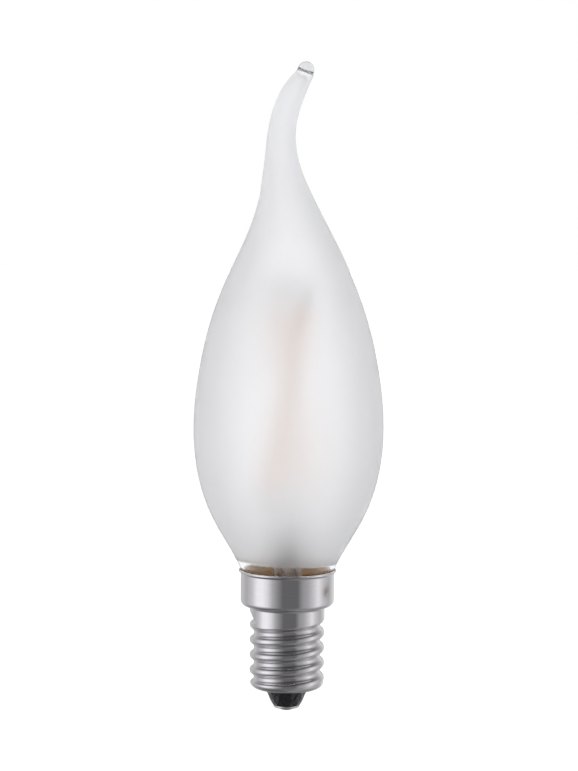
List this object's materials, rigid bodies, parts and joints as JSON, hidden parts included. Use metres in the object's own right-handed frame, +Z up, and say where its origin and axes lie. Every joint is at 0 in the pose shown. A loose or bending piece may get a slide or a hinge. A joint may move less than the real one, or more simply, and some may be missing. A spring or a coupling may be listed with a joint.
{
  "type": "candle bulb",
  "caption": "Frosted candle lamp with a bent flame tip, light strips inside, and a small nickel screw cap with a wide skirt.",
  "frame": {"origin": "middle of the flat on the solder button, the lowest point of the lamp, on the cap's axis", "axes": "+Z up the cap's axis towards the glass tip, +X to the right, the way the tip hooks, +Y to the back"},
  "size_m": [0.035, 0.035, 0.1195],
  "materials": {
    "frosted_glass": "satin frosted",
    "clear_glass": "clear, fire polished",
    "nickel_plate": "bright nickel plate",
    "black_glass": "black, glossy",
    "contact_metal": "plated, dull",
    "solder": "satin solder",
    "cement": "brown, matt",
    "phosphor": "matt yellow coat",
    "lead_wire": "drawn wire",
    "tab_metal": "stamped strip",
    "board": "green lacquer",
    "black_moulding": "matt black",
    "capacitor_sleeve": "shrunk sleeve",
    "resistor_coat": "lacquer coat"
  },
  "bodies": {
    "root": {"glass_envelope": "frosted_glass", "stem_flare": "clear_glass", "exhaust_tube": "clear_glass", "glass_pillar": "clear_glass", "cap_shell": "nickel_plate", "cap_insulator": "black_glass", "contact_plate": "contact_metal", "contact_solder": "solder", "side_solder": "solder", "basing_cement": "cement", "filament_front": "phosphor", "filament_rear": "phosphor", "driver_board": "board", "rectifier": "black_moulding", "driver_chip": "black_moulding", "sense_resistor": "black_moulding", "smoothing_capacitor": "capacitor_sleeve", "fuse_resistor": "resistor_coat", "anchor_wire": "lead_wire", "lead_wire_left": "lead_wire", "lead_wire_right": "lead_wire", "fuse_lead": "lead_wire", "centre_lead": "lead_wire", "side_lead": "lead_wire", "filament_front_top_tab": "tab_metal", "filament_front_bottom_tab": "tab_metal", "filament_rear_top_tab": "tab_metal", "filament_rear_bottom_tab": "tab_metal"}
  },
  "joints": []
}
